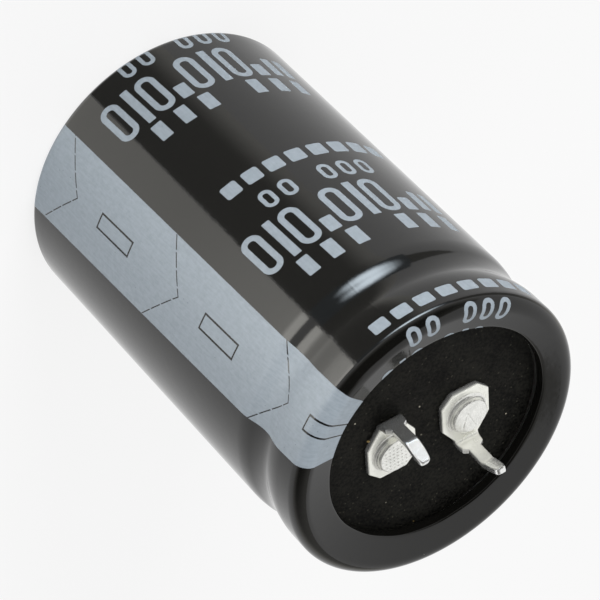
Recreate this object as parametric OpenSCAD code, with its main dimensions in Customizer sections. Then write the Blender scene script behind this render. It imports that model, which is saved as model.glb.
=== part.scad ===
// Snap-in aluminium electrolytic capacitor, two lugs, printed shrink sleeve.
// It stands on its closed end: Z runs up the can's axis and the lugs point up.
// The two pins lie on the X axis, the negative one at +X. Millimetres.

/* [Can] */
// Outer diameter of the drawn aluminium can
can_d = 30; // [29:0.1:36]
// Height of the closed can, from its base to the top of the curled rim
can_h = 45.8; // [42:0.1:70]
// Thickness of the can's sheet
can_t = 0.45; // [0.3:0.05:0.6]
// Outer radius of the corner at the closed end
foot_r = 0.8; // [0.6:0.05:2]

/* [Bead and rim] */
// Height from the middle of the bead to the top of the rim
bead_drop = 5.9; // [5.2:0.1:7]
// Width of the bead, from shoulder to shoulder
bead_w = 6.6; // [5.5:0.1:7.2]
// How deep the bead is rolled into the can
bead_depth = 1.3; // [0.9:0.05:1.8]
// Share of each flank of the bead that curves outwards
bead_share = 0.65; // [0.4:0.05:0.75]
// Outer radius of the rim's shoulder
rim_r = 1.1; // [0.8:0.05:1.6]
// How far the rim's top slopes down to its inner edge, in degrees
rim_slope = 14; // [5:1:20]
// Diameter inside the curled edge
curl_d = 23.8; // [22:0.1:25]
// Outer radius of the curled edge
curl_r = 0.7; // [0.55:0.05:1]
// How deep the curled edge is pressed into the rubber
curl_bite = 0.2; // [0:0.05:0.5]

/* [Vent] */
// Length of each scored line of the vent
vent_l = 17; // [8:0.5:22]
// Width of a scored line
vent_w = 0.5; // [0.3:0.05:1]
// Depth of a scored line
vent_depth = 0.25; // [0.1:0.01:0.28]

/* [Sleeve] */
// Thickness of the shrunk film
film_t = 0.15; // [0.08:0.01:0.3]
// How far the film is drawn into the bead
waist_depth = 0.5; // [0.2:0.05:0.8]
// Width of film that is folded over the closed end
foot_lip = 2.4; // [1.5:0.1:5]
// Diameter of the sleeve's mouth on the rim
mouth_d = 22.8; // [21:0.1:23.4]
// How far the mouth is off the can's axis
mouth_shift = 0.4; // [0:0.05:0.6]
// Direction of that shift, in degrees from the negative pin
mouth_angle = 250; // [0:1:360]

/* [Seal] */
// Depth of the rubber face below the top of the rim
seal_drop = 1.9; // [1.4:0.05:2.2]
// Thickness of the rubber layer
rubber_t = 1; // [0.6:0.1:1.5]
// Thickness of the phenolic board
board_t = 1.6; // [1:0.1:1.8]

/* [Lugs] */
// Distance between the two pins where they rise
pin_pitch = 10.8; // [10.4:0.1:12]
// Gap between the rivet's collar and the bend where the pin rises
head_gap = 0.9; // [0.5:0.05:1.1]
// Thickness of the lug's sheet
lug_t = 0.6; // [0.5:0.05:0.9]
// Width of the lug's plate
plate_w = 5.1; // [4.8:0.1:5.8]
// Distance from the rivet to the plate's back edge
plate_back = 2.75; // [2.6:0.05:3.5]
// Distance from the rivet to where the plate's sides end and slant in to the neck
side_end = 1.2; // [0.5:0.05:1.8]
// Size of the two cuts on the plate's back corners
plate_cut = 1.15; // [0.5:0.05:1.6]
// Inner radius of the bend between plate and pin
bend_r = 0.35; // [0.2:0.05:0.5]
// Width of the neck where it leaves the plate
neck_w = 2.6; // [2.4:0.1:3.2]
// Width of the neck at its shoulders
shoulder_w = 2.2; // [1.9:0.1:2.4]
// Height of the shoulders above the rubber
shoulder_h = 1.5; // [1.4:0.1:2.6]
// Width of the pin
pin_w = 1.3; // [1.2:0.05:1.7]
// Height of the pin's tip above the rubber
pin_h = 6.1; // [5.8:0.1:8.5]
// Height of the pin's kink above the rubber
kink_h = 3.8; // [3.2:0.1:4]
// How far the pin leans out below the kink, in degrees
lean_out = 3; // [0:0.5:8]
// How far the pin leans in above the kink, in degrees
lean_in = 20; // [0:0.5:24]
// Width of the pin's tip
tip_w = 0.6; // [0.4:0.05:1]
// Length of the taper on the side of the tip that faces the other pin
taper_h = 1.7; // [0.8:0.1:2.2]

/* [Rivets] */
// Diameter of the shank
shank_d = 2.4; // [1.8:0.1:2.8]
// Diameter of the head that is formed on the lug
head_d = 3.6; // [3.3:0.1:4]
// Height of that head
head_h = 0.8; // [0.65:0.05:1.4]
// Radius of the head's top edge
head_edge = 0.22; // [0.1:0.01:0.3]
// Diameter of the collar under the head
collar_d = 4.2; // [4.1:0.1:4.6]
// Thickness of the collar
collar_t = 0.2; // [0.1:0.05:0.35]
// Diameter of the hollow in the positive rivet's head
hollow_d = 2; // [1:0.1:2.6]
// Depth of that hollow
hollow_depth = 0.14; // [0.05:0.01:0.3]
// Pitch of the pits in the negative rivet's head
pit_pitch = 0.42; // [0.35:0.01:0.6]
// Width of a pit
pit_w = 0.2; // [0.1:0.01:0.26]
// Depth of a pit
pit_depth = 0.08; // [0.03:0.01:0.15]
// Diameter of the flat head under the board
flat_head_d = 4.8; // [4:0.1:5.6]
// Thickness of that head
flat_head_t = 0.8; // [0.5:0.05:1.2]

/* [Inner contacts] */
// Diameter of the washer under the board
washer_d = 5.6; // [4.8:0.1:6.4]
// Thickness of the washer
washer_t = 0.5; // [0.3:0.05:0.8]
// Width of the aluminium tabs from the foils
tab_w = 5; // [4:0.1:6]
// Thickness of a tab
tab_t = 0.3; // [0.15:0.05:0.4]
// Inner radius of the folds in a tab
fold_r = 0.6; // [0.4:0.05:0.7]
// Distance from the rivet to the outer fold of a tab
fold_reach = 5; // [4.2:0.1:6]
// Distance from the rivet to where the anode tab enters the winding
anode_reach = 3.4; // [2:0.1:5]
// Distance from the rivet to where the cathode tab enters the winding
cathode_reach = 2.4; // [2:0.1:5]
// Depth to which a tab shows in its slot in the winding
tab_depth = 4; // [2:0.5:8]

/* [Winding] */
// Gap between the taped roll and the can's wall
roll_gap = 0.55; // [0.3:0.05:2]
// Gap between the top of the roll and the bead
roll_drop = 0.95; // [0.5:0.05:5]
// Diameter of the hole that the winding pin leaves
core_d = 3.2; // [2.4:0.1:3.6]
// Turns of the roll that show as grooves on its ends
turn_count = 10; // [4:1:14]
// Width of a groove between two turns
turn_gap = 0.25; // [0.1:0.05:0.4]
// Thickness of the closing tape
tape_t = 0.08; // [0.04:0.01:0.12]
// Width of the closing tape
tape_w = 20; // [10:0.5:30]

/* [Fits] */
// Gap round a shank in its hole and round the board in the can
fit_gap = 0.05; // [0.02:0.01:0.1]

/* [Hidden] */

// Steps round a circle and along an arc of a profile
$fn = 96;
arc_steps = 9;
// A cut reaches this far past the face that it opens
over = 1;
// Height of the small slope on a neck's shoulders, and the depth of the grooves between turns
shoulder_rise = 0.2;
turn_depth = 0.3;

can_r = can_d / 2;
base_z = film_t;
rim_z = base_z + can_h;
bead_z = rim_z - bead_drop;
floor_z = base_z + can_t;
rubber_z = rim_z - seal_drop;
board_top = rubber_z - rubber_t;
board_z = board_top - board_t;
washer_z = board_z - washer_t;
contact_z = washer_z - tab_t;
winding_d = can_d - 2 * (can_t + roll_gap + tape_t);
winding_top = bead_z - bead_w / 2 - roll_drop;
winding_h = winding_top - floor_z;

// The plate's front, and the middle of the pin's sheet, as distances from the rivet
plate_front = collar_d / 2 + head_gap;
pin_off = plate_front + bend_r + lug_t / 2;

// The rivets' distance and the header's turn that make the pins' pitch exact
rivet_pitch = 2 * sqrt(pow(pin_pitch / 2, 2) - pow(pin_off, 2));
header_turn = atan2(pin_off, rivet_pitch / 2);

// Points of an arc round c from angle a to angle b
function arc(c, r, a, b) =
    [for (i = [0 : arc_steps]) let (t = a + (b - a) * i / arc_steps)
        c + r * [cos(t), sin(t)]];

function reversed(points) = [for (i = [len(points) - 1 : -1 : 0]) points[i]];

// Every outline below is [radius, height] at a depth d under the can's outer surface.
// A sheet is the space between its outlines at two depths.
function foot(d) = arc([can_r - foot_r, base_z + foot_r], foot_r - d, -90, 0);

// A rolled bead of the given depth: shoulder, bottom and shoulder, tangent to each other
function bead(d, depth) =
    let (half = bead_w / 2,
         turn = 2 * atan(depth / half),
         both = half / sin(turn),
         shoulder = both * bead_share,
         bottom = both - shoulder)
    concat(
        arc([can_r - shoulder, bead_z - half], shoulder - d, 0, turn),
        arc([can_r - depth + bottom, bead_z], -bottom - d, turn, -turn),
        arc([can_r - shoulder, bead_z + half], shoulder - d, -turn, 0));

rim_c = [can_r - rim_r, rim_z - rim_r];
function rim(d) = arc(rim_c, rim_r - d, 0, 90 + rim_slope);

// Height of the rim's sloping top at radius r
function slope_z(r, d) = rim_c[1]
    + (rim_r - d + sin(rim_slope) * (r - rim_c[0])) / cos(rim_slope);

// The edge that turns down from the sloping top and is pressed into the rubber
curl_c = [curl_d / 2 + curl_r,
    rim_c[1] + (rim_r - curl_r + sin(rim_slope) * (curl_d / 2 + curl_r - rim_c[0])) / cos(rim_slope)];
function curl(d) = concat(
    arc(curl_c, curl_r - d, 90 + rim_slope, 180),
    [[curl_d / 2 + d, rubber_z - curl_bite]]);

function can_outline(d) =
    concat([[0, base_z + d]], foot(d), bead(d, bead_depth), rim(d), curl(d));

function film_outline(d, inner_r) = concat(
    [[can_r - foot_lip, base_z + d]], foot(d), bead(d, waist_depth), rim(d),
    [[inner_r, slope_z(inner_r, d)]]);

module sheet(outside, inside) {
    rotate_extrude() polygon(concat(outside, reversed(inside)));
}

// Turned so that both pins lie on the X axis
module header_frame() {
    rotate([0, 0, header_turn]) children();
}

// One child at the positive rivet, which lies at -X before the header is turned
module at_positive(z) {
    header_frame() translate([-rivet_pitch / 2, 0, z]) children();
}

// The same child, half a turn round
module at_negative(z) {
    rotate([0, 0, 180]) at_positive(z) children();
}

module at_both(z) {
    at_positive(z) children();
    at_negative(z) children();
}

// A hole for a rivet's shank through a sheet of thickness t that starts at z = 0
module shank_hole(t) {
    translate([0, 0, -over]) cylinder(d = shank_d + 2 * fit_gap, h = t + 2 * over);
}

// Drawn can with a beaded neck, a curled rim and a vent scored into its closed end
module can() {
    color("silver") difference() {
        sheet(can_outline(0), can_outline(can_t));
        for (a = [0, 90])
            rotate([0, 0, a])
                translate([-vent_l / 2, -vent_w / 2, base_z - over])
                    cube([vent_l, vent_w, over + vent_depth]);
    }
}

// Shrunk film that wraps both ends and is drawn softly over the bead
module sleeve() {
    tight_r = mouth_d / 2 - mouth_shift;
    color([0.12, 0.12, 0.12]) difference() {
        sheet(film_outline(-film_t, tight_r), film_outline(0, tight_r));
        rotate([0, 0, mouth_angle])
            translate([mouth_shift, 0, bead_z])
                cylinder(d = mouth_d, h = bead_drop + over);
    }
}

// A disc from z to z + t that fills the can's neck and seats on the bead
module neck_disc(z, t) {
    intersection() {
        translate([0, 0, z]) cylinder(r = can_r, h = t);
        rotate_extrude()
            polygon(concat(
                [[0, bead_z]],
                [for (p = bead(can_t + fit_gap, bead_depth)) if (p[1] >= bead_z) p],
                [[can_r - can_t - fit_gap, rim_c[1]], [0, rim_c[1]]]));
    }
}

module terminal_board() {
    color([0.45, 0.28, 0.14]) difference() {
        neck_disc(board_z, board_t);
        at_both(board_z) shank_hole(board_t);
    }
}

module seal_rubber() {
    color([0.16, 0.16, 0.15]) difference() {
        neck_disc(board_top, rubber_t);
        at_both(board_top) shank_hole(rubber_t);
        translate([0, 0, rubber_z - curl_bite]) difference() {
            cylinder(d = curl_d + 2 * can_t, h = over);
            cylinder(d = curl_d, h = over);
        }
    }
}

// Outline of the lug's plate: the rivet is at the origin and the pin stands beyond +Y
module plate_outline() {
    half = plate_w / 2;
    polygon([
        [-half + plate_cut, -plate_back], [half - plate_cut, -plate_back],
        [half, -plate_back + plate_cut], [half, side_end],
        [neck_w / 2, plate_front], [-neck_w / 2, plate_front],
        [-half, side_end], [-half, -plate_back + plate_cut]]);
}

// Side view of the lug as [distance from the rivet, height]
module lug_side() {
    rise_y = plate_front + bend_r;
    kink_y = rise_y + tan(lean_out) * (kink_h - lug_t - bend_r);
    tip_y = kink_y - tan(lean_in) * (pin_h - kink_h);
    translate([plate_front - over, 0]) square([over, lug_t]);
    translate([plate_front, lug_t + bend_r]) intersection() {
        difference() {
            circle(bend_r + lug_t);
            circle(bend_r);
        }
        translate([0, -bend_r - lug_t]) square(bend_r + lug_t);
    }
    polygon([
        [rise_y, lug_t + bend_r], [rise_y + lug_t, lug_t + bend_r],
        [kink_y + lug_t, kink_h], [tip_y + lug_t, pin_h],
        [tip_y, pin_h], [kink_y, kink_h]]);
}

// Front view of the neck and the pin as [distance from the middle, height]
module pin_front() {
    polygon([
        [-neck_w / 2, 0], [neck_w / 2, 0],
        [shoulder_w / 2, shoulder_h], [pin_w / 2, shoulder_h + shoulder_rise],
        [pin_w / 2, pin_h - taper_h], [tip_w - pin_w / 2, pin_h],
        [-pin_w / 2, pin_h],
        [-pin_w / 2, shoulder_h + shoulder_rise], [-shoulder_w / 2, shoulder_h]]);
}

// Stamped and bent lug: an eight-sided plate, a neck with shoulders and a kinked snap-in pin
module lug() {
    difference() {
        union() {
            linear_extrude(lug_t) plate_outline();
            intersection() {
                translate([-neck_w, 0, 0]) rotate([90, 0, 90])
                    linear_extrude(2 * neck_w) lug_side();
                translate([0, pin_pitch, 0]) rotate([90, 0, 0])
                    linear_extrude(pin_pitch) pin_front();
            }
        }
        shank_hole(lug_t);
    }
}

module lug_positive() {
    color([0.86, 0.86, 0.82]) at_positive(rubber_z) lug();
}

module lug_negative() {
    color([0.86, 0.86, 0.82]) at_negative(rubber_z) lug();
}

// Rivet with its collar's underside at z = 0, a shank below and a flat head that closes it
module rivet_blank() {
    grip = lug_t + rubber_z - contact_z;
    edge_c = [head_d / 2 - head_edge, head_h - head_edge];
    rotate_extrude() polygon(concat(
        [[0, head_h]], reversed(arc(edge_c, head_edge, 0, 90)),
        [[head_d / 2, collar_t], [collar_d / 2, collar_t], [collar_d / 2, 0],
         [shank_d / 2, 0], [shank_d / 2, -grip], [flat_head_d / 2, -grip],
         [flat_head_d / 2, -grip - flat_head_t], [0, -grip - flat_head_t]]));
}

// The positive rivet's head has a shallow hollow
module rivet_positive() {
    color([0.8, 0.8, 0.78]) at_positive(rubber_z + lug_t) difference() {
        rivet_blank();
        translate([0, 0, head_h - hollow_depth])
            cylinder(d1 = 0, d2 = 2 * hollow_d, h = 2 * hollow_depth);
    }
}

// The negative rivet's head is marked all over with small square pits
module rivet_negative() {
    reach = head_d / 2 - head_edge - pit_w;
    steps = floor(reach / pit_pitch);
    color([0.8, 0.8, 0.78]) at_negative(rubber_z + lug_t) difference() {
        rivet_blank();
        for (ix = [-steps : steps], iy = [-steps : steps])
            if (norm([ix, iy]) * pit_pitch <= reach)
                translate([ix * pit_pitch - pit_w / 2, iy * pit_pitch - pit_w / 2, head_h - pit_depth])
                    cube([pit_w, pit_w, over]);
    }
}

module washer() {
    color([0.75, 0.76, 0.78]) difference() {
        cylinder(d = washer_d, h = washer_t);
        shank_hole(washer_t);
    }
}

module washer_positive() {
    at_positive(washer_z) washer();
}

module washer_negative() {
    at_negative(washer_z) washer();
}

// A quarter of a fold, from the X axis to the Y axis
module fold_quarter() {
    intersection() {
        difference() {
            circle(fold_r + tab_t);
            circle(fold_r);
        }
        square(fold_r + tab_t);
    }
}

// Side view of a tab as [distance from the rivet, height below the washer]:
// out under the rivet, round a double fold, back, and down into the winding
module tab_side(reach) {
    drop = 2 * (fold_r + tab_t);
    turn_x = reach + fold_r + tab_t;
    end_z = winding_top - tab_depth - washer_z;
    translate([-tab_w / 2, -tab_t]) square([tab_w / 2 + fold_reach, tab_t]);
    translate([fold_reach, -drop / 2]) {
        fold_quarter();
        mirror([0, 1]) fold_quarter();
    }
    translate([turn_x, -drop]) square([fold_reach - turn_x, tab_t]);
    translate([turn_x, -drop - fold_r]) rotate(90) fold_quarter();
    translate([reach, end_z]) square([tab_t, -end_z - drop - fold_r]);
}

module foil_tab(reach) {
    color([0.78, 0.79, 0.8]) difference() {
        translate([-tab_w / 2, 0, 0]) rotate([90, 0, 90])
            linear_extrude(tab_w) tab_side(reach);
        translate([0, 0, -tab_t - over]) cylinder(d = shank_d + 2 * fit_gap, h = tab_t + 2 * over);
    }
}

module anode_tab() {
    at_positive(washer_z) foil_tab(anode_reach);
}

module cathode_tab() {
    at_negative(washer_z) foil_tab(cathode_reach);
}

// The slot between two turns that a tab goes down
module tab_slot(reach) {
    translate([-tab_w / 2 - fit_gap, reach - fit_gap, -tab_depth - fit_gap])
        cube([tab_w + 2 * fit_gap, tab_t + 2 * fit_gap, tab_depth + over]);
}

// Anode foil, cathode foil and two papers rolled together and soaked, as one roll
module winding() {
    turn_pitch = (winding_d - core_d) / 2 / (turn_count + 1);
    color([0.87, 0.83, 0.7]) difference() {
        translate([0, 0, floor_z]) cylinder(d = winding_d, h = winding_h);
        translate([0, 0, floor_z - over]) cylinder(d = core_d, h = winding_h + 2 * over);
        for (i = [1 : turn_count], end = [floor_z, winding_top])
            translate([0, 0, end - turn_depth]) difference() {
                cylinder(r = core_d / 2 + i * turn_pitch + turn_gap / 2, h = 2 * turn_depth);
                cylinder(r = core_d / 2 + i * turn_pitch - turn_gap / 2, h = 2 * turn_depth);
            }
        at_positive(winding_top) tab_slot(anode_reach);
        at_negative(winding_top) tab_slot(cathode_reach);
    }
}

// Tape that closes the roll
module winding_tape() {
    color([0.9, 0.86, 0.6])
        translate([0, 0, floor_z + (winding_h - tape_w) / 2]) difference() {
            cylinder(d = winding_d + 2 * tape_t, h = tape_w);
            translate([0, 0, -over]) cylinder(d = winding_d, h = tape_w + 2 * over);
        }
}

can();
sleeve();
terminal_board();
seal_rubber();
lug_positive();
lug_negative();
rivet_positive();
rivet_negative();
washer_positive();
washer_negative();
anode_tab();
cathode_tab();
winding();
winding_tape();
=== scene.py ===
"""Snap-in electrolytic capacitor: a printed shrink sleeve over a beaded can, with two riveted lugs.

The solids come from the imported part. This script gives each piece its finish, and models the
sleeve, the lugs and the rivets again as smooth surfaces. Sizes are in millimetres.
"""

import math

import bpy
import numpy as np
from mathutils import Matrix, Vector


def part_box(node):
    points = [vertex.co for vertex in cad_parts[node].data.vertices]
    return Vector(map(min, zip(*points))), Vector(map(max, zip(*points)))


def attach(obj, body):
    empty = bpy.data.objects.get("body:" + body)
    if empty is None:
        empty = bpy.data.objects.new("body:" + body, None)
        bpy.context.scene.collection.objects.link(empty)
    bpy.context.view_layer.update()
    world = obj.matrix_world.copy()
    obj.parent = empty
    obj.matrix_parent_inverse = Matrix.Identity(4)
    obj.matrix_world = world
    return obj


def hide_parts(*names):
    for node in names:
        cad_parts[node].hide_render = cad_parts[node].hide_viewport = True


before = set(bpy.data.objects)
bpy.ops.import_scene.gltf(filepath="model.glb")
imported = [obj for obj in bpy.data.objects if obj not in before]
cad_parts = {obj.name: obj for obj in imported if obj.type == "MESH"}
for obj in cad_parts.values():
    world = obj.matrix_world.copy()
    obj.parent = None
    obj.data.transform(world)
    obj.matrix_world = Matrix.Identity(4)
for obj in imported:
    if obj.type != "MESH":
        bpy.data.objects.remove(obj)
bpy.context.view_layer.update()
bpy.context.scene.view_settings.view_transform = "Standard"

MM = 0.001


def node_box(name):
    """Lowest and highest corner of a solid, in millimetres."""
    low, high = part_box(name)
    return np.array(low) / MM, np.array(high) / MM


# Camera
# The photograph was taken from far off with a long lens, looking down on the shoulder of the can.
# Its frame is turned, so that the lugs point to the lower right.
camera_side = 70.1
camera_height = 38.73
camera_roll = 135.42
camera_distance = 307.8
aim_height = 23.7
lens_length = 199.3
sensor_width = 36.0


def seen_from(side, height, distance):
    """A place round the can: a turn from the camera's side, a height in degrees and a distance."""
    turn = Matrix.Rotation(math.radians(camera_side + side), 4, "Z")
    tilt = Matrix.Rotation(math.radians(90 - height), 4, "X")
    aim = Matrix.Translation((0, 0, aim_height * MM))
    return aim @ turn @ tilt @ Matrix.Translation((0, 0, distance * MM))


lens = bpy.data.cameras.new("camera")
lens.lens = lens_length
lens.sensor_width = sensor_width
lens.clip_start = 0.01
camera = bpy.data.objects.new("camera", lens)
roll = Matrix.Rotation(math.radians(camera_roll), 4, "Z")
camera.matrix_world = seen_from(0, camera_height, camera_distance) @ roll
bpy.context.collection.objects.link(camera)
bpy.context.scene.camera = camera


# Floor and daylight
# A white studio floor that runs on into a white surround. To the camera and in reflections both
# are close to plain white, and the floor keeps some of its real shading and so the shadow.
floor_reach = 3000.0
floor_sink = 0.05
floor_colour = (0.80, 0.80, 0.80, 1)
floor_white = 0.82
daylight = 0.52


class Value:
    """A number or a vector that a node gives out. The operators add Math nodes."""

    def __init__(self, finish, socket):
        self.finish = finish
        self.socket = socket

    def __add__(self, other):
        return self.finish.maths("ADD", self, other)

    __radd__ = __add__

    def __mul__(self, other):
        return self.finish.maths("MULTIPLY", self, other)

    __rmul__ = __mul__

    def __sub__(self, other):
        return self.finish.maths("SUBTRACT", self, other)

    def __rsub__(self, other):
        return self.finish.maths("SUBTRACT", other, self)

    def __truediv__(self, other):
        return self.finish.maths("DIVIDE", self, other)

    def __abs__(self):
        return self.finish.maths("ABSOLUTE", self)


class Finish:
    """The nodes of one material, or of the world."""

    def __init__(self, owner):
        self.owner = owner
        owner.use_nodes = True
        self.tree = owner.node_tree
        self.tree.nodes.clear()

    def node(self, kind, settings=None, sockets=None, take=0):
        """Adds a node: its settings first, then the value or link of each socket."""
        made = self.tree.nodes.new("ShaderNode" + kind)
        for name, value in (settings or {}).items():
            setattr(made, name, value)
        for name, value in (sockets or {}).items():
            if isinstance(value, Value):
                self.tree.links.new(value.socket, made.inputs[name])
            else:
                made.inputs[name].default_value = value
        return Value(self, made.outputs[take])

    def maths(self, operation, *values):
        return self.node("Math", {"operation": operation}, dict(enumerate(values)))

    def ramp(self, value, low, high):
        """Rises smoothly from 0 where the value is low to 1 where it is high."""
        ends = {"Value": value, "From Min": low, "From Max": high}
        return self.node("MapRange", {"interpolation_type": "SMOOTHSTEP"}, ends)

    def mix(self, share, first, second):
        """The first colour where the share is 0, and the second where it is 1."""
        return self.node("Mix", {"data_type": "RGBA"}, {0: share, 6: first, 7: second}, 2)

    def place(self):
        """Object coordinates in millimetres."""
        spot = self.node("TexCoord", take="Object")
        return self.node("VectorMath", {"operation": "SCALE"}, {0: spot, "Scale": 1 / MM})

    def stretched(self, place, scale):
        """The place with each of its axes scaled by itself."""
        return self.node("VectorMath", {"operation": "MULTIPLY"}, {0: place, 1: scale})

    def split(self, place):
        """The three coordinates of a place."""
        return [self.node("SeparateXYZ", sockets={0: place}, take=axis) for axis in "XYZ"]

    def noise(self, place, scale, detail=3.0, rough=0.5):
        """Cloudy noise round 0.5, with a number of features to the millimetre."""
        sockets = {"Vector": place, "Scale": scale, "Detail": detail, "Roughness": rough}
        return self.node("TexNoise", sockets=sockets)

    def specks(self, place, scale, size, share):
        """Small round spots: 1 within that distance of a share of scattered points."""
        cells = {"Vector": place, "Scale": scale}
        far = self.node("TexVoronoi", sockets=cells, take="Distance")
        pick = self.node("TexVoronoi", sockets=cells, take="Color")
        chosen = self.ramp(self.split(pick)[0], 1 - share, 1.001 - share)
        return self.ramp(far, size * scale, 0.6 * size * scale) * chosen

    def bump(self, height, depth, normal=None):
        """A surface raised by a height of 0 to 1 times a depth in millimetres."""
        sockets = {"Height": height, "Distance": depth * MM, "Strength": 1.0}
        if normal is not None:
            sockets["Normal"] = normal
        return self.node("Bump", sockets=sockets)

    def surface(self, shader):
        kind = "OutputWorld" if isinstance(self.owner, bpy.types.World) else "OutputMaterial"
        end = self.tree.nodes.new("ShaderNode" + kind)
        self.tree.links.new(shader.socket, end.inputs["Surface"])
        return self.owner

    def body(self, **sockets):
        """Closes the material with one Principled shader. Names have _ for a space."""
        named = {name.replace("_", " "): value for name, value in sockets.items()}
        return self.surface(self.node("BsdfPrincipled", sockets=named))


def new_finish(name):
    return Finish(bpy.data.materials.new(name))


def seen_or_mirrored(finish):
    """1 for rays from the camera, a reflection or glass, and 0 for the light that falls."""
    rays = [finish.node("LightPath", take=name)
            for name in ("Is Camera Ray", "Is Glossy Ray", "Is Transmission Ray")]
    return finish.maths("MAXIMUM", finish.maths("MAXIMUM", rays[0], rays[1]), rays[2])


def grid_faces(rows, columns, round_rows=False, round_columns=False):
    """Corners of the four-sided faces between the rows and columns of a grid of points.

    Seen from outside, columns run to the left of rows. A round grid is joined end to end.
    """
    index = np.arange(rows * columns).reshape(rows, columns)
    if round_rows:
        index = np.vstack([index, index[:1]])
    if round_columns:
        index = np.hstack([index, index[:, :1]])
    corners = [index[:-1, :-1], index[:-1, 1:], index[1:, 1:], index[1:, :-1]]
    return np.stack(corners, -1).reshape(-1, 4)


def new_piece(name, points, faces, finish, sharp=None):
    """An object whose mesh holds these points, in millimetres, and faces."""
    mesh = bpy.data.meshes.new(name)
    mesh.from_pydata((points.reshape(-1, 3) * MM).tolist(), [], faces)
    mesh.materials.append(finish)
    mesh.shade_smooth()
    if sharp is not None:
        mesh.set_sharp_from_angle(angle=math.radians(sharp))
    piece = bpy.data.objects.new(name, mesh)
    bpy.context.collection.objects.link(piece)
    return piece


def floor_finish():
    finish = new_finish("studio_floor")
    shaded = finish.node("BsdfDiffuse", sockets={"Color": floor_colour})
    plain = finish.node("Emission", sockets={"Strength": 1.0})
    share = seen_or_mirrored(finish) * floor_white
    return finish.surface(finish.node("MixShader", sockets={0: share, 1: shaded, 2: plain}))


corner = np.array([-floor_reach, floor_reach])
floor_x = np.tile(corner[:, None], 2)
floor_points = np.stack([floor_x, floor_x.T, np.full((2, 2), -floor_sink)], -1)
floor = new_piece("floor", floor_points, grid_faces(2, 2)[:, ::-1].tolist(), floor_finish())

sky = Finish(bpy.data.worlds.new("daylight"))
strength = seen_or_mirrored(sky) * (1 - daylight) + daylight
bpy.context.scene.world = sky.surface(sky.node("Background", sockets={"Strength": strength}))


# Lamps
# One soft lamp on the left of the camera, a weaker one high behind the can for the lugs' end, and
# a low one on the right. They are left out of reflections, which the cards below give instead.
lamps = {
    "key": {"side": -42, "height": 30, "distance": 380, "size": 170, "power": 0.85},
    "back": {"side": 165, "height": 52, "distance": 420, "size": 220, "power": 0.45},
    "fill": {"side": 70, "height": 20, "distance": 420, "size": 260, "power": 0.35},
}
for name, lamp in lamps.items():
    light = bpy.data.lights.new(name, "AREA")
    light.size = lamp["size"] * MM
    light.energy = lamp["power"]
    carrier = bpy.data.objects.new(name, light)
    carrier.matrix_world = seen_from(lamp["side"], lamp["height"], lamp["distance"])
    carrier.visible_glossy = False
    bpy.context.collection.objects.link(carrier)


# Cards for the reflections
# Bright and dark boards that only reflections see. A strip light and a dark board lie on the
# floor, a soft box and a low board stand on the left, and a dark dome hides the room above.
def mirror_card(name, points, glow, tint):
    """A board that only reflections see. Its glow is a value for each of its points."""
    finish = new_finish(name)
    strength = finish.node("Attribute", {"attribute_name": "glow"}, take="Fac")
    colour = finish.node("VectorMath", {"operation": "SCALE"}, {0: tint, "Scale": strength})
    shader = finish.node("Emission", sockets={"Color": colour, "Strength": 1.0})
    rows, columns = points.shape[:2]
    card = new_piece(name, points, grid_faces(rows, columns).tolist(), finish.surface(shader))
    layer = card.data.attributes.new("glow", "FLOAT", "POINT")
    layer.data.foreach_set("value", np.asarray(glow, float).ravel())
    card.visible_camera = False
    card.visible_diffuse = False
    card.visible_shadow = False
    card.visible_transmission = False


def heading(degrees):
    """The level direction that many degrees round the can from the camera's side."""
    turn = np.radians(camera_side - 90 + degrees)
    return np.stack([np.cos(turn), np.sin(turn)], -1)


def smooth(value, low, high):
    """Rises smoothly from 0 at low to 1 at high: three times the square less twice the cube."""
    share = np.clip((value - low) / (high - low), 0, 1)
    return share * share * (3 - 2 * share)


film_r = node_box("sleeve")[1][0]


def floor_card(name, turns, reaches, height, glow, tint):
    """A card on the floor where the can's side mirrors it.

    A line of sight that meets the can at a turn leaves it at twice that turn, so the card's rays
    start on the can's foot at the turn and run out at twice the turn.
    """
    turn, reach = np.meshgrid(np.linspace(*turns, 25), np.linspace(*reaches, 25), indexing="ij")
    spots = film_r * heading(turn) + reach[..., None] * heading(2 * turn)
    points = np.concatenate([spots, np.full(turn.shape + (1,), height)], -1)
    mirror_card(name, points, glow(turn, reach), tint)


warm_white = (1.0, 0.985, 0.93)
cool_white = (0.80, 0.91, 1.0)


def strip_glow(turn, reach):
    """Brightest in a strip across the floor, and fading to plain white at its far turn."""
    strip = 1.4 + 2.8 * smooth(reach, 42, 75) * (1 - smooth(reach, 130, 170))
    return 1 + strip * (1 - smooth(turn, 16, 34)) * (0.6 + 0.4 * smooth(reach, 20, 45))


def dark_floor_glow(turn, reach):
    """White where it starts, and darker towards the strip light."""
    return 1 - 0.72 * smooth(turn, -30, -19)


floor_card("strip_light", (2, 34), (0, 170), 0.2, strip_glow, warm_white)
floor_card("dark_floor", (-30, 1.5), (0, 160), 0.4, dark_floor_glow, warm_white)


def standing_card(name, sides, heights, distance, glow, tint):
    """A curved card round the can, between two turns and two heights in millimetres."""
    side, height = np.meshgrid(np.linspace(*sides, 121), np.linspace(*heights, 61), indexing="ij")
    points = np.concatenate([distance * heading(side), height[..., None]], -1)
    mirror_card(name, points, glow(side, height), tint)


def soft_box_glow(side, height):
    """A bright oval with a soft edge on a dark board."""
    from_middle = np.hypot((side + 38) / 25, (height - 22) / 19)
    return 0.35 + 15 * smooth(from_middle, 1.0, 0.15)


def low_board_glow(side, height):
    """Grey, and brighter at its far end."""
    return 0.3 + 0.5 * smooth(-side, 105, 150)


standing_card("soft_box", (-66, 2), (2, 33), 100, soft_box_glow, cool_white)
standing_card("low_board", (-150, -66), (1, 36), 130, low_board_glow, warm_white)


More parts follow.
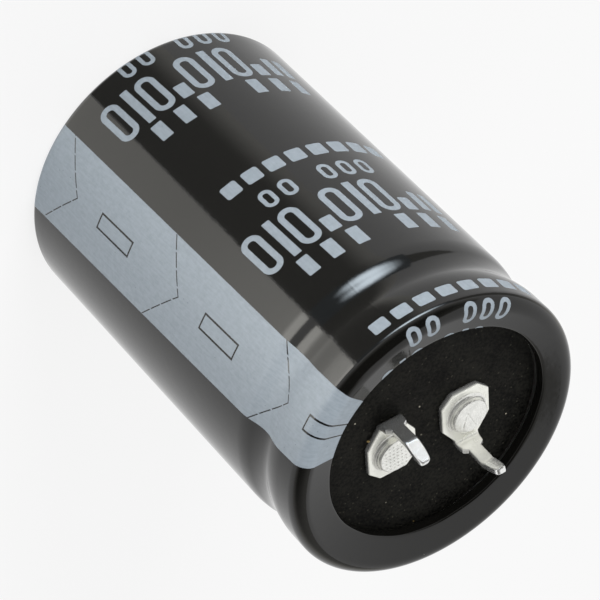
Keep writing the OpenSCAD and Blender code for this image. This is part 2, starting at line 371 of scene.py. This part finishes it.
def dark_dome(reach, sides, rises, glow):
    """Part of a dome round the can: each point lies at a turn and a rise in degrees."""
    side, rise = np.meshgrid(np.linspace(*sides, 33), np.linspace(*rises, 17), indexing="ij")
    level = heading(side) * np.cos(np.radians(rise))[..., None]
    points = reach * np.concatenate([level, np.sin(np.radians(rise))[..., None]], -1)
    points[..., 2] += aim_height
    mirror_card("dark_room", points, glow(side, rise), warm_white)


def dome_glow(side, rise):
    """Nearly black, and greyer towards both ends and its lower edge."""
    ends = np.maximum(smooth(side, 70, 160), smooth(-side, 60, 100))
    return 0.03 + 0.35 * ends + 0.5 * smooth(rise, 30, 8)


dark_dome(260, (-85, 165), (9, 86), dome_glow)


# Roll
# Etched anode foil, cathode foil and two papers, wound up, closed with tape and soaked in
# electrolyte. It sits in the sealed can, and the turns show as fine rings on its ends.
def paper_finish():
    finish = new_finish("wound_paper")
    place = finish.place()
    x, y, _ = finish.split(place)
    radius = finish.maths("SQRT", x * x + y * y)
    turns = finish.maths("SINE", radius * 34 + finish.noise(place, 0.3) * 9)
    damp = finish.noise(place, 0.25, 4)
    tone = finish.ramp(turns * 0.5 + damp, 0.1, 1.3)
    colour = finish.mix(tone, (0.30, 0.26, 0.19, 1), (0.64, 0.58, 0.43, 1))
    return finish.body(
        Base_Color=colour, Roughness=0.72 - damp * 0.25,
        Normal=finish.bump(turns + finish.noise(place, 6) * 0.6, 0.03))


def tape_finish():
    finish = new_finish("closing_tape")
    place = finish.place()
    weave = finish.noise(finish.stretched(place, (1, 1, 8)), 1.2, 4)
    colour = finish.mix(weave, (0.62, 0.52, 0.24, 1), (0.78, 0.69, 0.38, 1))
    return finish.body(
        Base_Color=colour, Roughness=0.3 + weave * 0.2, Normal=finish.bump(weave, 0.01))


def give(names, finish):
    """Puts a finish on solids that keep their own mesh."""
    for name in names:
        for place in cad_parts[name].material_slots:
            place.material = finish


give(["winding"], paper_finish())
give(["winding_tape"], tape_finish())


# Can, washers and foil tabs
# Bare aluminium: the can is deep-drawn, so it shows fine rings and a satin grey at its closed
# end, and the washers and tabs are cut from rolled strip with a fine grain.
def bare_aluminium(name, colour, rough, grain, depth):
    """Satin aluminium with a brushed grain: grain gives its features to the millimetre by axis."""
    finish = new_finish(name)
    place = finish.place()
    lines = finish.noise(finish.stretched(place, grain), 1.0, 5, 0.6)
    cloud = finish.noise(place, 0.35, 4)
    dull = tuple(0.86 * part for part in colour)
    tone = finish.ramp(lines * 0.5 + cloud * 0.5, 0.35, 0.65)
    return finish.body(
        Base_Color=finish.mix(tone, dull + (1,), colour + (1,)), Metallic=1.0,
        Roughness=rough + cloud * 0.14 - lines * 0.06, Normal=finish.bump(lines, depth))


def drawn_can_finish():
    finish = new_finish("drawn_can")
    place = finish.place()
    x, y, z = finish.split(place)
    radius = finish.maths("SQRT", x * x + y * y)
    rings = finish.noise(finish.node("CombineXYZ", sockets={0: radius * 5, 1: z * 5}), 1.0, 6, 0.65)
    cloud = finish.noise(place, 0.3, 5)
    scuffs = finish.ramp(finish.noise(finish.stretched(place, (0.5, 7, 1)), 1.0, 4), 0.62, 0.7)
    tone = finish.ramp(rings * 0.6 + cloud * 0.4, 0.35, 0.65)
    return finish.body(
        Base_Color=finish.mix(tone, (0.60, 0.61, 0.62, 1), (0.80, 0.81, 0.82, 1)), Metallic=1.0,
        Roughness=0.30 + cloud * 0.12 + scuffs * 0.12,
        Normal=finish.bump(rings + scuffs * 0.4, 0.012))


give(["can"], drawn_can_finish())
give(["washer_positive", "washer_negative", "anode_tab", "cathode_tab"],
     bare_aluminium("rolled_strip", (0.74, 0.75, 0.76), 0.3, (1.5, 14, 1.5), 0.008))


# Sealing board and rubber
# A disc of pressed phenolic laminate carries a bonded layer of black rubber. The rubber is what
# shows round the lugs: matt, finely grained and dusted with a few pale specks.
def laminate_finish():
    finish = new_finish("phenolic_board")
    place = finish.place()
    layers = finish.noise(finish.stretched(place, (0.4, 0.4, 9)), 1.0, 4)
    fibres = finish.noise(finish.stretched(place, (3, 0.6, 3)), 1.0, 5)
    colour = finish.mix(layers * 0.6 + fibres * 0.4, (0.16, 0.075, 0.03, 1), (0.34, 0.18, 0.08, 1))
    return finish.body(Base_Color=colour, Roughness=0.5, Normal=finish.bump(fibres, 0.02))


def rubber_finish():
    finish = new_finish("sealing_rubber")
    place = finish.place()
    grain = finish.noise(place, 3.4, 4, 0.75)
    cloud = finish.noise(place, 0.35, 4)
    dust = finish.specks(place, 0.8, 0.12, 0.16)
    gold = finish.specks(finish.stretched(place, (1, 1.6, 1)), 0.33, 0.22, 0.13)
    grit = finish.specks(place, 2.2, 0.10, 0.3)
    base = finish.mix(finish.ramp(grain + cloud * 0.3, 0.5, 0.8),
                      (0.001, 0.001, 0.0009, 1), (0.014, 0.0135, 0.011, 1))
    dusty = finish.mix(grit * 0.45, base, (0.09, 0.085, 0.065, 1))
    pale = finish.mix(dust * 0.9, dusty, (0.55, 0.52, 0.42, 1))
    colour = finish.mix(gold * 0.8, pale, (0.46, 0.33, 0.13, 1))
    return finish.body(
        Base_Color=colour, Roughness=0.72 + grain * 0.25, Specular_IOR_Level=0.25,
        Normal=finish.bump(grain + dust, 0.045))


give(["terminal_board"], laminate_finish())
give(["seal_rubber"], rubber_finish())


# Lugs
# Each lug is stamped from tinned sheet: an eight-sided plate, a neck with shoulders and a kinked
# snap-in pin with a narrow tip. The die rounds its edges and leaves its upper side duller.
sheet_t = 0.6
edge_r = 0.11
plate_back = 2.75
plate_front = 3.0
plate_half = 2.55
plate_cut = 1.15
side_end = 1.2
bend_r = 0.35
neck_half = 1.3
shoulder_half = 1.1
shoulder_h = 1.5
shoulder_rise = 0.3
pin_half = 0.65
kink_h = 3.8
kink_r = 1.0
lean_out = 3.0
lean_in = 20.0
taper_h = 1.5
tip_half = 0.29
swell_t = 0.03
swell_w = 0.35
swell_h = shoulder_h - 0.35
path_step = 0.05

rubber_top = node_box("seal_rubber")[1][2]
pin_h = node_box("lug_positive")[1][2] - rubber_top


def bent_path(corners, radii, step):
    """Evenly spaced points of a path of straight runs with an arc of each radius at each corner."""
    corners = np.array(corners, float)
    runs = np.diff(corners, axis=0)
    ways = runs / np.linalg.norm(runs, axis=1)[:, None]
    stretches = [corners[:1]]
    for corner, before, after, radius in zip(corners[1:-1], ways[:-1], ways[1:], radii):
        turn = math.acos(before @ after)
        reach = radius * math.tan(turn / 2)
        side = 1 if before[0] * after[1] > before[1] * after[0] else -1
        across = side * np.array([-before[1], before[0]])
        angles = np.linspace(0, turn, 12)[:, None]
        start = corner - reach * before
        stretches.append(start + radius * (np.sin(angles) * before + (1 - np.cos(angles)) * across))
    dense = np.vstack(stretches + [corners[-1:]])
    lengths = np.append(0, np.cumsum(np.linalg.norm(np.diff(dense, axis=0), axis=1)))
    even = np.linspace(0, lengths[-1], int(lengths[-1] / step) + 1)
    return np.stack([np.interp(even, lengths, dense[:, axis]) for axis in (0, 1)], -1), even


def rounded_section(left, right, thick, radius, arc_count=5):
    """Outline of a bar with rounded edges, anticlockwise, with its flats held close to the arcs.

    left, right and thick are arrays along the bar, so the result is one outline for each.
    """
    turn = np.radians(np.linspace(0, 90, arc_count))
    quarter = np.stack([np.cos(turn), np.sin(turn)], -1)
    hold = 0.5
    quarter = np.vstack([[1, -hold], quarter, [-hold, 1]])
    middle = (left + right) / 2
    half = (right - left) / 2
    tight = np.minimum(radius, np.minimum(half, thick) * 0.7)
    outline = []
    for step, (sx, sy) in enumerate(((1, 1), (-1, 1), (-1, -1), (1, -1))):
        part = quarter if step % 2 == 0 else quarter[::-1]
        x = middle[:, None] + sx * (half[:, None] - tight[:, None] * (1 - part[None, :, 0]))
        y = sy * (thick[:, None] - tight[:, None] * (1 - part[None, :, 1]))
        outline.append(np.stack([x, y], -1))
    return np.concatenate(outline, 1)


def lug_points():
    """The lug's sections along its middle line, as points round each section.

    The middle line runs along the plate, bends up, leans out to the kink and leans in to the tip,
    and each section is a bar across it. The tip narrows as a quarter of an ellipse. The second
    result is 1 on the sheet's upper side, which is the pin's inner side, and 0 below. Above the
    kink, where the pin was squeezed, both sides are shiny.
    """
    half_t = sheet_t / 2
    foot_y = plate_front + bend_r + half_t
    kink_y = foot_y + math.tan(math.radians(lean_out)) * (kink_h - sheet_t - bend_r)
    top_h = pin_h - math.sin(math.radians(lean_in)) * (half_t - edge_r)
    tip_y = kink_y - math.tan(math.radians(lean_in)) * (top_h - kink_h)
    low_y = foot_y - math.tan(math.radians(lean_out)) * bend_r
    path, length = bent_path(
        [(-plate_back, half_t), (low_y, half_t), (kink_y, kink_h), (tip_y, top_h)],
        [bend_r + half_t, kink_r], path_step)
    rise = path[:, 1]
    on_plate = path[:, 0] < plate_front
    plate = np.interp(
        path[:, 0], [-plate_back, -plate_back + plate_cut, side_end, plate_front],
        [plate_half - plate_cut, plate_half, plate_half, neck_half])
    pin = np.interp(
        rise, [0, shoulder_h, shoulder_h + shoulder_rise], [neck_half, shoulder_half, pin_half])
    wide = np.where(on_plate, plate, pin)
    share = np.clip((rise - top_h) / taper_h + 1, 0, 1)
    cut = tip_half + (pin_half - tip_half) * np.sqrt(1 - share**2)
    wide = np.where(rise > top_h - taper_h, np.minimum(cut, wide), wide)
    blur = np.array([1, 2, 1]) / 4
    right = np.convolve(np.pad(wide, 1, mode="edge"), blur, "valid")
    ends = np.minimum(length, length[-1] - length)
    drawn = edge_r - np.sqrt(np.maximum(edge_r**2 - np.maximum(edge_r - ends, 0)**2, 0))
    swell = swell_t * np.exp(-((rise - swell_h) / swell_w)**2) * (1 - on_plate)
    section = rounded_section(drawn - right, right - drawn, half_t - drawn + swell, edge_r)
    way = np.gradient(path, axis=0)
    way /= np.linalg.norm(way, axis=1)[:, None]
    out = np.stack([way[:, 1], -way[:, 0]], -1)
    spot = path[:, None, :] + section[..., 1:] * out[:, None, :]
    upper = smooth(-section[..., 1] / half_t, 0.2, 0.9)
    upper = upper * (1 - 0.75 * smooth(rise, kink_h - 0.1, kink_h + 0.7))[:, None]
    return np.concatenate([section[..., :1], spot], -1), upper


def closed_tube(points):
    """Faces round a tube of sections and a cap on each of its ends."""
    rows, columns = points.shape[:2]
    sides = grid_faces(rows, columns, round_columns=True)
    last = np.arange(columns) + (rows - 1) * columns
    return sides.tolist() + [np.arange(columns)[::-1].tolist(), last.tolist()]


def header_place(name):
    """Middle of a rivet, and the turn that brings a lug's own frame to it."""
    low, high = node_box("rivet_" + name)
    middle = (low + high)[:2] / 2
    turn = math.atan2(-middle[1], -middle[0])
    return middle, turn


def set_in_header(points, name, height):
    """The points moved from a lug's own frame to its place in the header."""
    middle, turn = header_place(name)
    spin = np.array([[math.cos(turn), -math.sin(turn)], [math.sin(turn), math.cos(turn)]])
    level = points[..., :2] @ spin.T + middle
    return np.concatenate([level, points[..., 2:] + height], -1)


def tinned_finish():
    finish = new_finish("tinned_lug")
    place = finish.place()
    upper = finish.node("Attribute", {"attribute_name": "upper_side"}, take="Fac")
    cloud = finish.noise(place, 0.9, 5, 0.6)
    pores = finish.noise(place, 5, 4, 0.65)
    scrape = finish.noise(finish.stretched(place, (6, 6, 0.8)), 1.0, 4)
    dents = finish.noise(place, 1.6, 2)
    bright = finish.ramp(cloud * 0.6 + pores * 0.4, 0.36, 0.56)
    matt = finish.mix(bright, (0.90, 0.90, 0.83, 1), (1.0, 1.0, 0.93, 1))
    shiny = finish.mix(bright, (0.88, 0.90, 0.90, 1), (1.0, 1.0, 0.99, 1))
    return finish.body(
        Base_Color=finish.mix(upper, shiny, matt), Metallic=0.90 - upper * 0.46,
        Roughness=0.20 + upper * 0.03 + pores * 0.12 - bright * 0.05,
        Normal=finish.bump(dents * 0.7 + scrape * 0.15 + pores * 0.15, 0.02))


tinned = tinned_finish()
for name in ("positive", "negative"):
    sections, upper_side = lug_points()
    points = set_in_header(sections, name, rubber_top)
    lug = new_piece("lug_" + name + "_stamped", points, closed_tube(points), tinned, sharp=40)
    layer = lug.data.attributes.new("upper_side", "FLOAT", "POINT")
    layer.data.foreach_set("value", upper_side.ravel())
    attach(lug, "root")
    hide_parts("lug_" + name)


# Rivets
# Aluminium rivets hold each lug to the board and carry the foil's tab. The heads are formed
# cold: the positive one has a shallow creased hollow, and the negative one is pitted all over.
flare_r = 2.15
flare_t = 0.05
throat_r = 0.37
head_r = 1.8
head_h = 0.8
head_edge = 0.13
hollow_r = 1.6
hollow_depth = 0.05
crease_depth = 0.03
crease_w = 0.11
crease_top = (0.38, -0.68)
crease_ends = ((-0.64, 1.85), (0.95, 1.0))
pit_pitch = 0.42
pit_long = 0.16
pit_short = 0.09
pit_depth = 0.05
flat_head_r = 2.4
flat_head_t = 0.8
flat_edge = 0.1
shank_r = 1.2


def arc(middle, radius, start, end, count):
    """Points of an arc: the middle plus the radius times the cosine and sine of each angle."""
    turn = np.radians(np.linspace(start, end, count))
    return np.stack([middle[0] + radius * np.cos(turn), middle[1] + radius * np.sin(turn)], -1)


def hollowed(x, y):
    """A shallow cone pressed into the head, with two creases that run out from one point."""
    cone = hollow_depth * np.clip(1 - np.hypot(x, y) / hollow_r, 0, 1)
    relief = -cone
    for end in crease_ends:
        way = np.array(end) - crease_top
        length = np.hypot(*way)
        way = way / length
        along = (x - crease_top[0]) * way[0] + (y - crease_top[1]) * way[1]
        aside = (x - crease_top[0]) * way[1] - (y - crease_top[1]) * way[0]
        fade = smooth(along, -0.1, 0.2) * smooth(along, 1.1 * length, 0.8 * length)
        relief = relief - crease_depth * fade * np.exp(-(aside / crease_w)**2)
    return relief


def pitted(x, y):
    """Long dimples on a square grid: each falls with the square of the distance to its middle."""
    dx = (x - np.round(x / pit_pitch) * pit_pitch) / pit_long
    dy = (y - np.round(y / pit_pitch) * pit_pitch) / pit_short
    return -pit_depth * np.clip(1 - dx**2 - dy**2, 0, 1)


def rivet_points(relief):
    """The rivet turned about its axis, with a relief pressed into the top of its head."""
    low = node_box("rivet_positive")[0][2] + flat_head_t - rubber_top - sheet_t
    throat_c = (head_r + throat_r, flare_t + throat_r)
    flare = math.degrees(math.acos((flare_r - throat_c[0]) / throat_r))
    outline = np.vstack([
        [[0.05, low - flat_head_t], [flat_head_r - flat_edge, low - flat_head_t]],
        arc((flat_head_r - flat_edge, low - flat_head_t + flat_edge), flat_edge, -90, 0, 4),
        [[flat_head_r, low], [shank_r, low], [shank_r, 0], [flare_r, 0]],
        arc(throat_c, throat_r, 360 - flare, 180, 12),
        arc((head_r - head_edge, head_h - head_edge), head_edge, 0, 90, 8),
        np.stack([np.linspace(head_r - head_edge - 0.02, 0.02, 64), np.full(64, head_h)], -1)])
    turn = np.linspace(0, 2 * np.pi, 168, endpoint=False)
    wobble = 1 + 0.008 * np.sin(2 * turn + 0.6) + 0.006 * np.sin(5 * turn)
    radius = outline[:, :1] * np.where(outline[:, 1:] > flare_t, wobble, 1)
    x, y = radius * np.cos(turn), radius * np.sin(turn)
    on_top = smooth(radius, head_r - head_edge + 0.01, head_r - head_edge - 0.12)
    z = outline[:, 1:] + np.where(outline[:, 1:] >= head_h - 1e-6, on_top * relief(x, y), 0)
    return np.stack([x, y, z], -1)


def rivet_finish():
    finish = new_finish("cold_formed_aluminium")
    place = finish.place()
    cloud = finish.noise(place, 1.1, 5, 0.6)
    grain = finish.noise(place, 9, 4, 0.6)
    lines = finish.noise(finish.stretched(place, (11, 11, 0.9)), 1.0, 4)
    tone = finish.ramp(cloud * 0.5 + grain * 0.5, 0.38, 0.60)
    colour = finish.mix(tone, (0.84, 0.84, 0.80, 1), (1.0, 1.0, 0.96, 1))
    return finish.body(
        Base_Color=colour, Metallic=0.74, Roughness=0.18 + grain * 0.12,
        Normal=finish.bump(grain * 0.12 + lines * 0.4, 0.012))


formed = rivet_finish()
for name, relief in (("positive", hollowed), ("negative", pitted)):
    points = set_in_header(rivet_points(relief), name, rubber_top + sheet_t)
    rivet = new_piece("rivet_" + name + "_formed", points, closed_tube(points), formed, sharp=50)
    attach(rivet, "root")
    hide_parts("rivet_" + name)


# Sleeve
# Black heat-shrink film, printed with one ink before it is shrunk on. It wraps the foot and the
# rim, and dips softly into the bead. Its mouth is a little off the can's axis and its edge is
# folded down into the recess.
foot_r = 0.8
foot_lip = 2.4
bead_drop = 6.0
bead_w = 6.6
waist_depth = 0.5
low_share = 0.5
high_share = 0.65
rim_r = 1.1
rim_slope = 14.0
mouth_r = 11.4
mouth_shift = 0.4
mouth_turn = 250.0
fold_r = 0.25
fold_drop = 0.75
around_count = 320

can_r = node_box("can")[1][0]
base_z = node_box("can")[0][2]
rim_z = node_box("can")[1][2]
film_t = film_r - can_r
bead_z = rim_z - bead_drop
rim_c = (can_r - rim_r, rim_z - rim_r)
slope = math.radians(rim_slope)


def bead_outline(depth):
    """Shoulder, waist and shoulder of the film over the bead, tangent to each other."""
    half = bead_w / 2
    turn = 2 * math.degrees(math.atan(waist_depth / half))
    both = half / math.sin(math.radians(turn))
    low, high = both * low_share, both * high_share
    waist_r = can_r - waist_depth
    return np.vstack([
        arc((can_r - low, bead_z - half), low - depth, 0, turn, 12),
        arc((waist_r + both - low, bead_z), low - both - depth, turn, 0, 12)[1:],
        arc((waist_r + both - high, bead_z), high - both - depth, 0, -turn, 12)[1:],
        arc((can_r - high, bead_z + half), high - depth, -turn, 0, 12)[1:]])


def film_outline(depth):
    """The film from the foot's lip to the start of the rim's slope, at a depth under the can."""
    side_low, side_high = base_z + foot_r, bead_z - bead_w / 2
    side = np.stack([np.full(30, can_r - depth), np.linspace(side_low, side_high, 30)], -1)
    return np.vstack([
        arc((can_r - foot_r, base_z + foot_r), foot_r - depth, -90, 0, 12),
        side[1:-1],
        bead_outline(depth),
        arc(rim_c, rim_r - depth, 0, 90 + rim_slope, 30)])


def film_points(depth, turn, lip_count):
    """The whole film at one depth: its lip under the foot, its outline and its lip on the rim.

    The lips end on the foot's and the mouth's edges, which wander a little round the can. The
    mouth's edge overhangs the rim's curled edge and is folded down into the recess.
    """
    outline = film_outline(depth)
    foot_edge = can_r - foot_lip + 0.10 * np.sin(3 * turn) + 0.05 * np.sin(8 * turn + 1)
    bearing = turn - math.radians(mouth_turn)
    mouth = mouth_shift * np.cos(bearing) + np.sqrt(mouth_r**2 - (mouth_shift * np.sin(bearing))**2)
    mouth = mouth + 0.04 * np.sin(3 * turn + 1) + 0.025 * np.sin(7 * turn)
    mouth = mouth + 0.012 * np.sin(17 * turn)
    share = np.linspace(0, 1, lip_count)[:, None]
    foot_lip_r = foot_edge + (outline[0, 0] - foot_edge) * share
    fold_c = mouth + fold_r
    fold_rise = rim_r + film_t - fold_r + np.sin(slope) * (fold_c - rim_c[0])
    fold_z = rim_c[1] + fold_rise / np.cos(slope)
    bend = arc((0, 0), fold_r - film_t - depth, 90 + rim_slope, 180, 7)
    rim_lip_r = outline[-1, 0] + (fold_c + bend[0, 0] - outline[-1, 0]) * share
    rim_lip_z = rim_c[1] + (rim_r - depth + np.sin(slope) * (rim_lip_r - rim_c[0])) / np.cos(slope)
    hang = np.array([0.5, 1.0])[:, None] * fold_drop
    radius = np.vstack([
        foot_lip_r[:-1], np.tile(outline[:, :1], turn.size), rim_lip_r[1:], fold_c + bend[1:, :1],
        np.tile(fold_c + bend[-1, 0], (2, 1))])
    height = np.vstack([
        np.full(foot_lip_r[:-1].shape, outline[0, 1]), np.tile(outline[:, 1:], turn.size),
        rim_lip_z[1:], fold_z + bend[1:, 1:], fold_z - hang])
    return radius, height


def stripe_turn(length):
    """The turn of the stripe's middle line in degrees: the film was shrunk with a slight twist."""
    return 13.3 - 0.13 * length


turn = np.radians(stripe_turn(20) + np.linspace(-180, 180, around_count, endpoint=False))
out_r, out_z = film_points(-film_t, turn, 12)
in_r, in_z = film_points(0.0, turn, 3)
radius = np.vstack([out_r, in_r[::-1]])
height = np.vstack([out_z, in_z[::-1]])
points = np.stack([radius * np.cos(turn), radius * np.sin(turn), height], -1)
rows, columns = points.shape[:2]
faces = grid_faces(rows, columns, round_rows=True, round_columns=True)

# The print's own coordinates: across is measured round the can from the stripe's middle line to
# the left, and along is measured up the film, which was pulled thin over the last shoulder.
pull_length = 1.0
steps = np.hypot(np.diff(out_r, axis=0), np.diff(out_z, axis=0))
along = np.vstack([np.zeros(columns), np.cumsum(steps, axis=0)])
level_row = np.argmin(abs(out_z[:, 0] - 20))
along = along - along[level_row] + out_z[level_row]
along = along + pull_length * smooth(along, 41.5, 44.6)
along = np.vstack([along, np.tile(along[-1:], (rows - len(along), 1))])
turns = np.degrees(np.append(turn, turn[0] + 2 * np.pi))
along = np.hstack([along, along[:, :1]])
across = -np.radians(turns - stripe_turn(along)) * film_r
wrapped = np.stack([across, along], -1) / 100
wrapped = np.vstack([wrapped, wrapped[:1]])
corner_print = np.stack(
    [wrapped[:-1, :-1], wrapped[:-1, 1:], wrapped[1:, 1:], wrapped[1:, :-1]], 2)


def box_gap(finish, x, y, half_w, half_h, corner):
    """Distance to a rounded box, less than 0 inside it.

    Beyond the corner's middle it is the distance to that middle less the corner's radius, and
    elsewhere the larger of the two distances to the sides.
    """
    dx = abs(x) - (half_w - corner)
    dy = abs(y) - (half_h - corner)
    outer_x = finish.maths("MAXIMUM", dx, 0)
    outer_y = finish.maths("MAXIMUM", dy, 0)
    outer = finish.maths("SQRT", outer_x * outer_x + outer_y * outer_y)
    inner = finish.maths("MINIMUM", finish.maths("MAXIMUM", dx, dy), 0)
    return outer + inner - corner


def inked(finish, gap, soft=0.03):
    """1 where a distance is less than 0, with a soft edge."""
    return finish.ramp(gap, soft, -soft)


def ring_gap(gap, stroke):
    """Distance to the band of one stroke's width inside an outline."""
    return abs(gap + stroke / 2) - stroke / 2


def folded(finish, value, start, pitch):
    """The value measured from the middle of its cell, where cells of one pitch start at start."""
    return finish.maths("FLOORED_MODULO", value - start, pitch) - pitch / 2


def within(finish, value, low, high):
    """1 where a value lies between low and high, with soft ends."""
    return inked(finish, finish.maths("MAXIMUM", value - high, low - value))


def larger(finish, *masks):
    """The largest of several masks, which is where any of them lies."""
    result = masks[0]
    for mask in masks[1:]:
        result = finish.maths("MAXIMUM", result, mask)
    return result


def stripe_mask(finish, x, v):
    """The polarity stripe, less its outlined bars and its dashed chevrons."""
    repeat = 17.4
    line = 0.085
    half = 4.55 - v * 0.0095
    stripe = inked(finish, abs(x) - half)
    bar_y = folded(finish, v, 13.35 - repeat / 2, repeat)
    bar_gap = box_gap(finish, x, bar_y, 0.85, 2.72, 0.05)
    bar = inked(finish, ring_gap(bar_gap, 2.3 * line), 0.02)
    chevron_y = folded(finish, v, 6.75 - repeat / 2, repeat)
    chevron = inked(finish, abs(chevron_y + abs(x) * 0.93) * 0.73 - line * 0.7, 0.025)
    dash = inked(finish, abs(folded(finish, abs(x), -0.6, 1.25)) - 0.55, 0.04)
    return stripe * (1 - larger(finish, bar, chevron * dash))


def marks_mask(finish, x, v):
    """Plain marks in four rows, where the real film carries its print: blocks, bars and rings."""
    repeat = 23.3
    w = finish.maths("FLOORED_MODULO", v - 19.0, repeat)
    long_x = folded(finish, x, 9.4, 2.35)
    blocks = inked(finish, box_gap(finish, long_x, w - 2.15, 0.85, 0.85, 0.25))
    blocks = blocks * within(finish, x, 9.3, 28.2)
    small_x = folded(finish, x, 11.3, 2.1)
    small_ring = ring_gap(box_gap(finish, small_x, w - 5.55, 0.72, 1.15, 0.7), 0.42)
    small = inked(finish, small_ring) * within(finish, x, 11.3, 23.9)
    small = small * (1 - within(finish, x, 15.5, 17.6))
    group_x = finish.maths("FLOORED_MODULO", x - 7.0, 8.6)
    big_y = w - 10.2
    first = ring_gap(box_gap(finish, group_x - 1.2, big_y, 1.08, 2.6, 1.05), 0.62)
    second = box_gap(finish, group_x - 3.45, big_y, 0.42, 2.6, 0.1)
    third = ring_gap(box_gap(finish, group_x - 5.45, big_y, 1.08, 2.6, 1.05), 0.62)
    fourth = box_gap(finish, group_x - 7.65, big_y - 1.6, 0.62, 1.0, 0.15)
    big = larger(finish, *(inked(finish, gap) for gap in (first, second, third, fourth)))
    big = big * within(finish, x, 7.0, 24.2)
    last = box_gap(finish, folded(finish, x, 24.4, 1.6), big_y - 0.9, 0.5, 1.5, 0.15)
    big = larger(finish, big, inked(finish, last) * within(finish, x, 24.4, 27.6))
    low_x = folded(finish, x, 9.0, 2.65)
    bars = inked(finish, box_gap(finish, low_x, w - 14.5, 0.62, 1.15, 0.12))
    bars = bars * within(finish, x, 9.0, 27.55) * (1 - within(finish, x, 16.95, 19.6))
    return larger(finish, blocks, small, big, bars)


def film_finish():
    """Glossy film with ragged ink on it, and two faint lines where the flat tube was folded."""
    finish = new_finish("printed_film")
    place = finish.place()
    spot = finish.node("UVMap", {"uv_map": "print"})
    spot = finish.node("VectorMath", {"operation": "SCALE"}, {0: spot, "Scale": 100.0})
    x, v, _ = finish.split(spot)
    rough_edge = finish.noise(place, 7, 2) - 0.5
    ragged = x + rough_edge * 0.05
    ink = larger(finish, stripe_mask(finish, ragged, v), marks_mask(finish, ragged, v))
    fibre = finish.noise(finish.stretched(spot, (5, 0.7, 1)), 1.0, 4)
    mottle = finish.noise(place, 2.2, 4, 0.6)
    pinholes = finish.specks(place, 2.4, 0.05, 0.12)
    cover = ink * (1 - pinholes * 0.6)
    ink_colour = finish.mix(
        finish.ramp(fibre * 0.5 + mottle * 0.5, 0.3, 0.7),
        (0.285, 0.333, 0.377, 1), (0.356, 0.408, 0.458, 1))
    film_colour = finish.mix(mottle, (0.0035, 0.0034, 0.003, 1), (0.006, 0.0058, 0.005, 1))
    dust = finish.specks(place, 0.55, 0.045, 0.22)
    colour = finish.mix(dust * 0.7, finish.mix(cover, film_colour, ink_colour), (0.5, 0.5, 0.47, 1))
    peel = finish.noise(place, 0.9, 3)
    draw = finish.noise(finish.stretched(spot, (1.6, 0.12, 1)), 1.0, 3)
    flat_width = 47.6
    crease = finish.ramp(abs(folded(finish, x, 11.6 - flat_width / 2, flat_width)), 0.22, 0.0)
    skin = finish.bump(peel * 0.5 + draw * 0.25 + crease * 0.25, 0.012)
    skin = finish.bump(mottle * 0.5 + dust, 0.004, skin)
    return finish.body(
        Base_Color=colour, Roughness=0.075 + cover * 0.42 + mottle * 0.03, IOR=1.5, Normal=skin)


sleeve = new_piece("sleeve_printed", points, faces.tolist(), film_finish(), sharp=50)
layer = sleeve.data.uv_layers.new(name="print")
layer.data.foreach_set("uv", corner_print.ravel())
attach(sleeve, "root")
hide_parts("sleeve")
